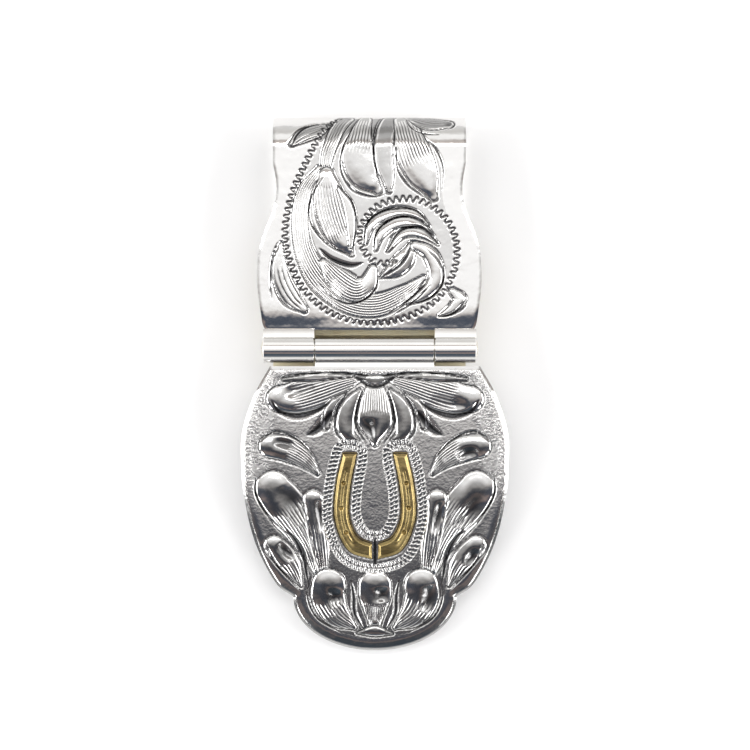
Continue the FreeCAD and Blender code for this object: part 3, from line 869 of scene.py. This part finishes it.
def curve_at(points, share):
    """Points a share of the way along a smooth curve."""
    path, along = smooth_path(points)
    return np.column_stack([np.interp(share * along[-1], along, path[:, axis]) for axis in (0, 1)])


for side, node in ((-1, "horseshoe_left"), (1, "horseshoe_right")):
    bm, shoe_across, shoe_along = sheet_grid(26, 150)
    outer = curve_at(SHOE_OUTER, shoe_along)
    inner = curve_at(SHOE_INNER, shoe_along)
    centre = (outer + inner) / 2
    spread = outer - inner
    half_strip = np.linalg.norm(spread, axis=1) / 2
    plan = centre + spread / 2 * shoe_across[:, None]
    from_side = half_strip * (1 - np.abs(shoe_across))
    from_end = np.minimum(shoe_along, 1 - shoe_along) * smooth_path(SHOE_OUTER)[1][-1]
    bevel = np.clip(1 - np.minimum(from_side, from_end) / SHOE_BEVEL, 0, 1)
    height = SHOE_HEIGHT - BEVEL_DROP * bevel
    fuller = np.exp(-(shoe_across / FULLER_WIDTH) ** 2)
    fuller *= rising(shoe_along, FULLER_ENDS[0], FULLER_FADE)
    height -= FULLER_DEPTH * fuller * np.clip((FULLER_ENDS[1] - shoe_along) / FULLER_FADE, 0, 1)
    middle_line = [((a + c) / 2, (b + d) / 2) for (a, b), (c, d) in zip(SHOE_OUTER, SHOE_INNER)]
    for nail in curve_at(middle_line, np.array(NAIL_PLACES)):
        from_nail = np.linalg.norm(plan - nail, axis=1)
        height -= NAIL_DEPTH * np.clip(1.6 - from_nail / NAIL_R, 0, 1)
    x, along = side * plan[:, 0], SHOE_Y + plan[:, 1]
    place_points(bm, on_flap(x, along, height))
    close_sheet(bm, shoe_across, on_flap(x, along, -SHOE_SINK))
    make_piece(node + "_filed", bm, "flap", brass_yellow, [node], crease_deg=40)

# ---------------------------------------------------------------------------------------------
# Back plate. The plain lower half of the strip: it leaves the roll at the crown, lies flat, and
# lifts at its rounded end to meet the flap. Its edges are eased so that notes slide on.

BACK_HALF_WIDTH = 8.2
BACK_END_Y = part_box("back_plate")[0].y / MM
BACK_END_LENGTH = 7.5
BACK_LIFT_Y = -16.0
BACK_LIFT_R = 106.0
BACK_COLUMNS = 28
BACK_ROWS = 220
BACK_ROW_SHARES = (0.25, 0.45, 0.3)   # of the rounded end, the tapered length and the roll
EASED_WIDTH = 0.00016
EASED_FROM_DEG = 40
bend_y = CROWN_Y - BEND_R

bm, back_across, back_along = sheet_grid(BACK_COLUMNS, BACK_ROWS)
taper_length = bend_y - (BACK_END_Y + BACK_END_LENGTH)
round_end, taper_end, _ = np.cumsum(BACK_ROW_SHARES)
rounded = rising(back_along, 0, round_end)
straight = rising(back_along, round_end, taper_end - round_end)
rolled = rising(back_along, taper_end, 1 - taper_end) * math.pi / 2
end_turn = np.radians(BLUNT_TIP_DEG) * (1 - rounded)
half_width = (BACK_HALF_WIDTH + (ROLL_HALF_WIDTH - BACK_HALF_WIDTH) * straight) * np.cos(end_turn)
y = BACK_END_Y + BACK_END_LENGTH * (1 - np.sin(end_turn)) + taper_length * straight
lift = BACK_LIFT_R - np.sqrt(BACK_LIFT_R ** 2 - np.clip(BACK_LIFT_Y - y, 0, None) ** 2)


def on_back(depth):
    """Points at a depth below the outer face of the back plate and its half of the roll."""
    radius = BEND_R - depth
    roll_y = y + radius * np.sin(rolled)
    roll_z = BEND_R - radius * np.cos(rolled) + lift
    return np.column_stack([UPPER_X + back_across * half_width, roll_y, roll_z]) * MM


place_points(bm, on_back(0))
close_sheet(bm, back_across, on_back(STRIP_T))
back_plate = make_piece("back_plate_eased", bm, "back", silver_polished,
                        ["back_plate"], crease_deg=EASED_FROM_DEG)
eased = back_plate.modifiers.new("eased_edges", "BEVEL")
eased.width = EASED_WIDTH
eased.segments = 3
eased.limit_method = "ANGLE"
eased.angle_limit = math.radians(EASED_FROM_DEG)

# ---------------------------------------------------------------------------------------------
# Studio. A white table in a room that is bright overhead and dark on the bottom side, with a strip
# light over the roll and two soft boxes at each side.

TABLE_HALF = 0.9
bm = bmesh.new()
bmesh.ops.create_grid(bm, x_segments=1, y_segments=1, size=TABLE_HALF)
table_mesh = bpy.data.meshes.new("table")
bm.to_mesh(table_mesh)
bm.free()
table = bpy.data.objects.new("table", table_mesh)
bpy.context.scene.collection.objects.link(table)
paper = bpy.data.materials.new("white_paper")
paper.use_nodes = True
paper_shader = paper.node_tree.nodes["Principled BSDF"]
paper_shader.inputs["Base Color"].default_value = (0.93, 0.93, 0.93, 1)
paper_shader.inputs["Roughness"].default_value = 0.7
table_mesh.materials.append(paper)


def soft_light(name, place, width, height, watts):
    """A rectangular white soft box, aimed at the clip."""
    data = bpy.data.lights.new(name, "AREA")
    data.shape = "RECTANGLE"
    data.size = width
    data.size_y = height
    data.energy = watts
    lamp = bpy.data.objects.new(name, data)
    lamp.location = place
    lamp.rotation_euler = (-Vector(place)).to_track_quat("-Z", "Y").to_euler()
    bpy.context.scene.collection.objects.link(lamp)


soft_light("top_strip", (0, 0.21, 0.78), width=1.0, height=0.09, watts=1.5)
for side in (-1, 1):
    soft_light("side_lamp", (side * 0.78, -0.05, 0.40), width=0.55, height=0.55, watts=4.4)
    soft_light("corner_lamp", (side * 0.5, -0.55, 0.5), width=0.22, height=0.22, watts=1.5)

# The room's tones, by the angle from straight overhead towards the top side in degrees. They bend
# towards the top side at the left and right, where the room is darker too.
SIDE_LEAN = -0.15
room = bpy.data.worlds.new("studio")
room.use_nodes = True
heading = surface_node(room, "ShaderNodeTexCoord", {}, "Generated")
to_x, to_y, to_z = (surface_node(room, "ShaderNodeSeparateXYZ", {"Vector": heading}, axis)
                    for axis in "XYZ")
aside = surface_node(room, "ShaderNodeMath", {0: to_x}, 0, operation="ABSOLUTE")
leaning = surface_node(room, "ShaderNodeMath", {0: aside, 1: SIDE_LEAN, 2: to_y}, 0,
                       operation="MULTIPLY_ADD")
angle = surface_node(room, "ShaderNodeMath", {0: leaning, 1: to_z}, 0, operation="ARCTAN2")
ramp = room.node_tree.nodes.new("ShaderNodeValToRGB")
feed(room, ramp, {"Fac": graded(room, angle, 0, 1, start=-math.pi / 2, end=math.pi / 2)})
strength = graded(room, aside, 1.2, 0.65, start=0.22, end=0.62, interpolation_type="SMOOTHSTEP")
feed(room, room.node_tree.nodes["Background"], {"Color": ramp.outputs["Color"], "Strength": strength})
ramp.color_ramp.interpolation = "EASE"
tones = ((-89, (0.75, 0.75, 0.75, 1)), (-74, (0.70, 0.70, 0.70, 1)), (-65, (0.09, 0.11, 0.14, 1)),
         (-42, (0.05, 0.07, 0.09, 1)), (-34, (0.32, 0.25, 0.23, 1)), (-27, (0.06, 0.07, 0.095, 1)),
         (-18, (0.06, 0.075, 0.105, 1)), (-12, (0.50, 0.47, 0.46, 1)), (-5, (0.85, 0.84, 0.83, 1)),
         (0, (1.0, 1.0, 1.01, 1)), (10, (1.0, 1.0, 1.0, 1)), (21, (0.50, 0.45, 0.42, 1)),
         (27, (0.45, 0.41, 0.39, 1)), (36, (0.95, 0.95, 0.95, 1)), (50, (1.0, 1.0, 1.0, 1)),
         (62, (0.62, 0.61, 0.60, 1)), (89, (0.7, 0.7, 0.7, 1)))
for degrees, colour in tones:
    stop = ramp.color_ramp.elements.new((degrees + 90) / 180)
    stop.color = colour
ramp.color_ramp.elements[0].color = tones[0][1]
ramp.color_ramp.elements[-1].color = tones[-1][1]
bpy.context.scene.world = room
bpy.context.scene.view_settings.view_transform = "Standard"

# Camera straight above the clip, high enough to leave white all round it
LENS = 200.0
SENSOR = 36.0
VIEW_WIDTH = 0.0812        # in metres, at the height of the clip's upper faces
VIEW_Z = 0.004
VIEW_Y = 0.001
camera_data = bpy.data.cameras.new("camera")
camera_data.lens = LENS
camera_data.sensor_width = SENSOR
camera_data.clip_start = 0.01
camera = bpy.data.objects.new("camera", camera_data)
camera.location = (0, VIEW_Y, VIEW_Z + VIEW_WIDTH * LENS / SENSOR)
bpy.context.scene.collection.objects.link(camera)
bpy.context.scene.camera = camera
